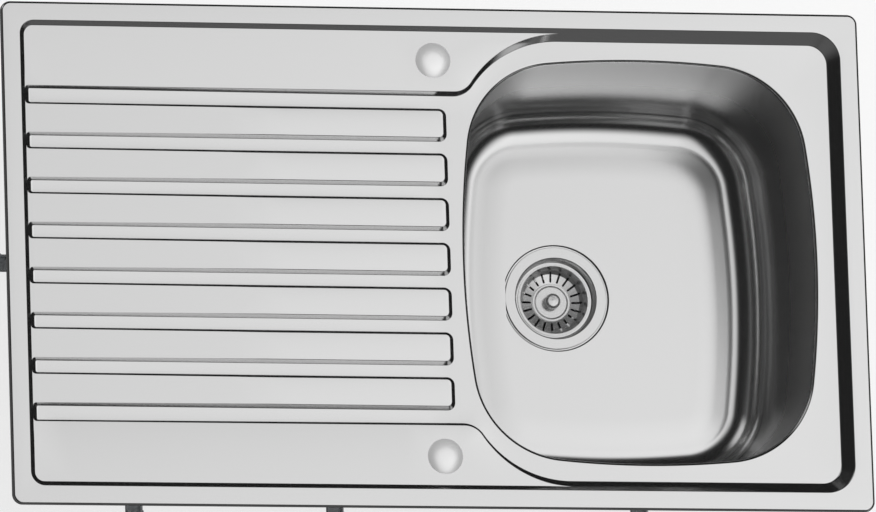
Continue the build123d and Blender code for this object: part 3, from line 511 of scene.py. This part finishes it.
def make_bowl(material):
    skin = Skin()
    batter = math.tan(DRAFT)
    reach, falls = zip(*FLOOR_FALL)
    border = np.linspace(0, reach[-1], 38)
    slopes = np.radians(np.interp(border, reach, falls))
    climb = np.concatenate(([0.0], np.cumsum((np.tan(slopes[1:]) + np.tan(slopes[:-1])) / 2 * np.diff(border))))
    fillet_z = FLOOR_Z - climb[-1] + FLOOR_RADIUS
    fillet_inset = WELD_INSET + batter * (WELD_Z - fillet_z) + FLOOR_RADIUS / math.cos(DRAFT)
    wall_end = fillet_z - FLOOR_RADIUS * math.sin(DRAFT)
    rows = []
    for z in np.linspace(WELD_Z, wall_end, 12):
        rows.append((WELD_INSET + batter * (WELD_Z - z), z, math.cos(DRAFT), math.sin(DRAFT)))
    for turn in np.linspace(DRAFT, math.pi / 2, 28)[1:]:
        inset = fillet_inset - FLOOR_RADIUS * math.cos(turn)
        rows.append((inset, fillet_z - FLOOR_RADIUS * math.sin(turn), math.cos(turn), math.sin(turn)))
    foot = FLOOR_Z - climb[-1]
    for run, up, slope in zip(border[1:], climb[1:], slopes[1:]):
        rows.append((fillet_inset + run, foot + up, -math.sin(slope), math.cos(slope)))
    rings = bowl_rows(skin, rows)
    floor_plan, _ = bowl_ring(rows[-1][0])
    recess = circle(WASTE_X, 0.0, RECESS_RADIUS + RECESS_ROUND, WASTE_STEPS)
    mouth_inside = (RECESS_RADIUS + RECESS_ROUND) * math.cos(math.pi / WASTE_STEPS)

    def kept(x, y):
        return within(floor_plan, x, y) & (np.hypot(x - WASTE_X, y) > mouth_inside)

    plan, faces, (edge, mouth) = fill_plan([floor_plan, recess], [], kept)
    ids = skin.add(np.column_stack((plan, np.full(len(plan), FLOOR_Z))), np.tile((0.0, 0.0, 1.0), (len(plan), 1)))
    skin.faces += [tuple(ids[i] for i in face) for face in faces]
    mouth = [ids[i] for i in mouth]
    away = circle(0.0, 0.0, 1.0, WASTE_STEPS)
    low = FLOOR_Z - RECESS_DEPTH
    steps = []
    for t in EDGE_TURNS:
        radius = RECESS_RADIUS + RECESS_ROUND * (1 - math.sin(t))
        steps.append((radius, FLOOR_Z - RECESS_ROUND * (1 - math.cos(t)), math.sin(t), math.cos(t)))
    for t in (0.0, *EDGE_TURNS):
        radius = RECESS_RADIUS - RECESS_ROUND * (1 - math.cos(t))
        steps.append((radius, low + RECESS_ROUND * (1 - math.sin(t)), math.cos(t), math.sin(t)))
    steps.append((WASTE_HOLE, low, 0.0, 1.0))
    rings_down = [mouth]
    for radius, height, sideways, up in steps:
        points = np.column_stack((away * radius + (WASTE_X, 0.0), np.full(WASTE_STEPS, height)))
        rings_down.append(skin.add(points, np.column_stack((-away * sideways, np.full(WASTE_STEPS, up)))))
    for a, b in zip(rings_down, rings_down[1:]):
        skin.band(a, b)
    skin.borders = [(rings[0], True), (rings_down[-1], False)]
    return show("bowl_shell", *skin.thick(), material, "satin_steel", ["bowl"])


def make_blank(side, material):
    """The pressed slug in a tap hole: a flat crown that rolls down to its edge."""
    place = (TAP_X, TAP_Y if side == "back" else -TAP_Y)
    skin = Skin()
    share = np.sin(np.linspace(0, math.pi / 2, 25)[1:])
    away = circle(0.0, 0.0, 1.0, ROUND_STEPS)
    top = skin.add([(*place, LEDGE_Z + BLANK_RISE)], [(0.0, 0.0, 1.0)])[0]
    rings = []
    for part in share:
        height = LEDGE_Z + BLANK_RISE * (1 - part**BLANK_CROWN)
        slope = math.atan(BLANK_RISE * BLANK_CROWN / TAP_RADIUS * part ** (BLANK_CROWN - 1))
        points = np.column_stack((away * TAP_RADIUS * part + place, np.full(ROUND_STEPS, height)))
        normals = np.column_stack((away * math.sin(slope), np.full(ROUND_STEPS, math.cos(slope))))
        rings.append(skin.add(points, normals))
    skin.faces += [(top, rings[0][i], rings[0][(i + 1) % ROUND_STEPS]) for i in range(ROUND_STEPS)]
    for a, b in zip(rings, rings[1:]):
        skin.band(a, b)
    skin.borders = [(rings[-1], True)]
    return show(f"{side}_tap_blank", *skin.thick(), material, "satin_steel", [f"{side}_tap_knockout"])


# ---------------------------------------------------------------- finishes

class Sockets:
    """The nodes of one material or world. node() takes a kind, its settings, and its inputs' values or links."""

    def __init__(self, owner):
        owner.use_nodes = True
        self.tree = owner.node_tree
        self.tree.nodes.clear()

    def node(self, kind, settings=None, **inputs):
        made = self.tree.nodes.new("ShaderNode" + kind)
        for name, value in (settings or {}).items():
            setattr(made, name, value)
        for name, value in inputs.items():
            socket = made.inputs[int(name[1:])] if name[0] == "_" else made.inputs[name.replace("_", " ")]
            if isinstance(value, Number):
                value = value.socket
            if isinstance(value, bpy.types.NodeSocket):
                self.tree.links.new(value, socket)
            else:
                socket.default_value = value
        return made

    def number(self, socket):
        return Number(self, socket)


class Number:
    """A node's output, so that sums on it read as sums."""

    def __init__(self, nodes, socket):
        self.nodes = nodes
        self.socket = socket

    def with_value(self, operation, *values):
        inputs = {f"_{i}": v for i, v in enumerate(values)}
        return Number(self.nodes, self.nodes.node("Math", {"operation": operation}, **inputs).outputs[0])

    def __add__(self, other):
        return self.with_value("ADD", self, other)

    def __sub__(self, other):
        return self.with_value("SUBTRACT", self, other)

    def __rsub__(self, other):
        return self.with_value("SUBTRACT", other, self)

    def __mul__(self, other):
        return self.with_value("MULTIPLY", self, other)

    def __neg__(self):
        return self * -1.0

    __radd__ = __add__
    __rmul__ = __mul__

    def maximum(self, other):
        return self.with_value("MAXIMUM", self, other)

    def minimum(self, other):
        return self.with_value("MINIMUM", self, other)

    def angle_over(self, other):
        """The angle in degrees of this as the height over a run."""
        return self.with_value("ARCTAN2", self, other) * (180 / math.pi)

    def rise(self, low, high):
        """0 below low and 1 above high, smoothly between."""
        smooth = {"interpolation_type": "SMOOTHSTEP"}
        made = self.nodes.node("MapRange", smooth, Value=self, From_Min=low, From_Max=high)
        return Number(self.nodes, made.outputs[0])

    def between(self, low, low_end, high, high_end):
        """1 from low_end to high, falling smoothly to 0 at low and high_end."""
        return self.rise(low, low_end) * (1 - self.rise(high, high_end))


def finish_of(name, color, rough, metal=0.0, grain=0.0, grain_size=400.0, spread=0.0):
    """A plain finish. grain is the height of its fine unevenness in metres, spread how much its gloss varies."""
    material = bpy.data.materials.new(name)
    nodes = Sockets(material)
    shader = nodes.node("BsdfPrincipled", Base_Color=(*color, 1.0), Roughness=rough, Metallic=metal)
    nodes.node("OutputMaterial", Surface=shader.outputs[0])
    if grain or spread:
        place = nodes.node("TexCoord").outputs["Object"]
        noise = nodes.node("TexNoise", Vector=place, Scale=grain_size, Detail=3.0)
        speck = nodes.number(noise.outputs[0])
        if grain:
            bump = nodes.node("Bump", Distance=grain, Height=speck)
            nodes.tree.links.new(bump.outputs[0], shader.inputs["Normal"])
        if spread:
            nodes.tree.links.new((speck * spread + (rough - spread / 2)).socket, shader.inputs["Roughness"])
    return material


def make_sheet_steel(name, color, rough, dull, spread):
    """Polished sheet, left matt on its underside. dull is how much rougher it is near the top of a bowl."""
    material = bpy.data.materials.new(name)
    nodes = Sockets(material)
    lie = nodes.node("TexCoord").outputs
    height = nodes.number(nodes.node("SeparateXYZ", _0=lie["Object"]).outputs[2])
    facing = nodes.number(nodes.node("SeparateXYZ", _0=lie["Normal"]).outputs[2])
    under = 1 - facing.rise(-0.08, -0.03)
    speck = nodes.number(nodes.node("TexNoise", Vector=lie["Object"], Scale=400.0, Detail=3.0).outputs[0])
    uneven = rough + dull * height.rise(-0.15, -0.02) + spread * (speck - 0.5)
    matt = 0.45 + 0.1 * (speck - 0.5)
    gloss = uneven + under * (matt - uneven)
    shader = nodes.node("BsdfPrincipled", Base_Color=(*color, 1.0), Roughness=gloss, Metallic=1 - 0.5 * under)
    nodes.node("OutputMaterial", Surface=shader.outputs[0])
    return material


satin_steel = make_sheet_steel("satin_steel", (0.80, 0.80, 0.80), 0.12, 0.0, 0.012)
bowl_steel = make_sheet_steel("bowl_steel", (0.88, 0.88, 0.88), 0.19, 0.17, 0.01)
blank_steel = finish_of("blank_steel", (0.96, 0.96, 0.96), 0.28, 0.55)
flange_steel = finish_of("flange_steel", (0.80, 0.80, 0.80), 0.16, 1.0, spread=0.02)
basket_steel = finish_of("basket_steel", (0.86, 0.86, 0.86), 0.24, 0.9, spread=0.04)
screw_steel = finish_of("screw_steel", (0.74, 0.74, 0.73), 0.28, 1.0, spread=0.06, grain_size=900.0)
zinc_sheet = finish_of("zinc_sheet", (0.62, 0.64, 0.66), 0.42, 1.0, spread=0.2, grain_size=150.0)
black_rubber = finish_of("black_rubber", (0.022, 0.022, 0.023), 0.6, spread=0.08, grain_size=500.0)
seal_foam = finish_of("seal_foam", (0.16, 0.16, 0.165), 0.95, grain=0.0004, grain_size=900.0)
sound_pad = finish_of("sound_pad", (0.06, 0.06, 0.062), 0.9, grain=0.0003, grain_size=300.0)
white_plastic = finish_of("white_plastic", (0.80, 0.80, 0.79), 0.42, spread=0.04, grain_size=200.0)

FINISHES = [
    (satin_steel, ["drainboard_top"]),
    (bowl_steel, ["bowl"]),
    (blank_steel, ["back_tap_knockout", "front_tap_knockout"]),
    (flange_steel, ["waste_flange"]),
    (basket_steel, ["strainer_basket", "basket_knob", "basket_stem"]),
    (screw_steel, ["centre_screw", "stem_nut"]),
    (black_rubber, ["flange_seal", "body_seal", "stopper_seal"]),
    (seal_foam, ["rim_seal"]),
    (sound_pad, ["bowl_sound_pad"]),
    (white_plastic, ["waste_body", "stopper_plate"]),
]
named = {node: material for material, nodes in FINISHES for node in nodes}
for node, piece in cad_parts.items():
    material = named.get(node, screw_steel if node.endswith(("_bolt", "_nut")) else zinc_sheet)
    if not piece.material_slots:
        piece.data.materials.append(material)
    for place in piece.material_slots:
        place.material = material

make_top(satin_steel)
make_bowl(bowl_steel)
make_blank("back", blank_steel)
make_blank("front", blank_steel)


# ---------------------------------------------------------------- studio

def make_world():
    """White to the camera, plain grey light for what isn't metal, and softboxes over a dark room for what is."""
    world = bpy.data.worlds.new("studio")
    bpy.context.scene.world = world
    nodes = Sockets(world)
    place = nodes.node("TexCoord").outputs["Generated"]
    x, y, z = [nodes.number(socket) for socket in nodes.node("SeparateXYZ", _0=place).outputs]
    front = z.angle_over(-y)
    left = z.angle_over(-x)
    round_plan = y.angle_over(x)
    over = front.between(42.0, 75.0, 103.0, 113.0) * left.between(79.0, 93.0, 106.0, 130.0)
    shade = (0.798 + (x - 0.179) * 2.58).maximum(0.73).minimum(1.0)
    side = left.between(8.0, 20.0, 30.0, 46.0)
    back_fill = round_plan.between(112.0, 128.0, 142.0, 155.0) * z.between(0.12, 0.3, 0.6, 0.75)
    front_fill = round_plan.between(-68.0, -56.0, -34.0, -22.0) * z.between(0.1, 0.2, 0.32, 0.45)
    fill = back_fill.maximum(front_fill)
    room = 0.012 + 0.09 * front.between(0.0, 5.0, 10.0, 30.0)
    grey = (over * shade).maximum(side * 0.1).maximum(fill * 0.6).maximum(room)
    path = nodes.node("LightPath")
    seen = nodes.number(path.outputs["Is Camera Ray"])
    glossy = nodes.number(path.outputs["Is Glossy Ray"])
    light = glossy * grey + (1 - glossy) * 0.62
    color = (seen + (1 - seen) * light).socket
    back = nodes.node("Background", Color=color, Strength=1.0)
    nodes.node("OutputWorld", Surface=back.outputs[0])


def make_floor():
    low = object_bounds()[0].z
    mesh = bpy.data.meshes.new("floor")
    corners = [(sx * FLOOR_HALF, sy * FLOOR_HALF, low) for sx, sy in ((-1, -1), (1, -1), (1, 1), (-1, 1))]
    mesh.from_pydata(corners, [], [(0, 1, 2, 3)])
    floor = bpy.data.objects.new("floor", mesh)
    bpy.context.scene.collection.objects.link(floor)
    material = bpy.data.materials.new("floor")
    nodes = Sockets(material)
    path = nodes.node("LightPath")
    seen = nodes.number(path.outputs["Is Camera Ray"])
    glossy = nodes.number(path.outputs["Is Glossy Ray"])
    lit = nodes.node("BsdfPrincipled", Base_Color=(0.86, 0.86, 0.86, 1.0), Roughness=0.8)
    plain = nodes.node("Emission", Color=(seen + glossy * 0.05).socket)
    mixed = nodes.node("MixShader", _0=seen * 0.7 + glossy * 0.95, _1=lit.outputs[0], _2=plain.outputs[0])
    nodes.node("OutputMaterial", Surface=mixed.outputs[0])
    mesh.materials.append(material)


def make_lamp():
    lamp = bpy.data.lights.new("key", "AREA")
    lamp.shape = "SQUARE"
    lamp.size = 1.6
    lamp.energy = 34.0
    key = bpy.data.objects.new("key", lamp)
    key.location = (0.9, 0.8, 2.4)
    key.rotation_euler = (-key.location).to_track_quat("-Z", "Y").to_euler()
    key.visible_glossy = False
    bpy.context.scene.collection.objects.link(key)


def make_camera():
    lens = bpy.data.cameras.new("camera")
    lens.sensor_width = 36.0
    lens.lens = LENS_RATIO * lens.sensor_width
    lens.shift_x = lens.shift_y = LENS_SHIFT
    lens.clip_end = 60.0
    camera = bpy.data.objects.new("camera", lens)
    camera.rotation_euler = CAMERA_TURN
    camera.location = CAMERA_AIM + camera.rotation_euler.to_matrix() @ Vector((0.0, 0.0, CAMERA_DISTANCE))
    bpy.context.scene.collection.objects.link(camera)
    bpy.context.scene.camera = camera


make_world()
make_floor()
make_lamp()
make_camera()
bpy.context.scene.view_settings.view_transform = "Standard"
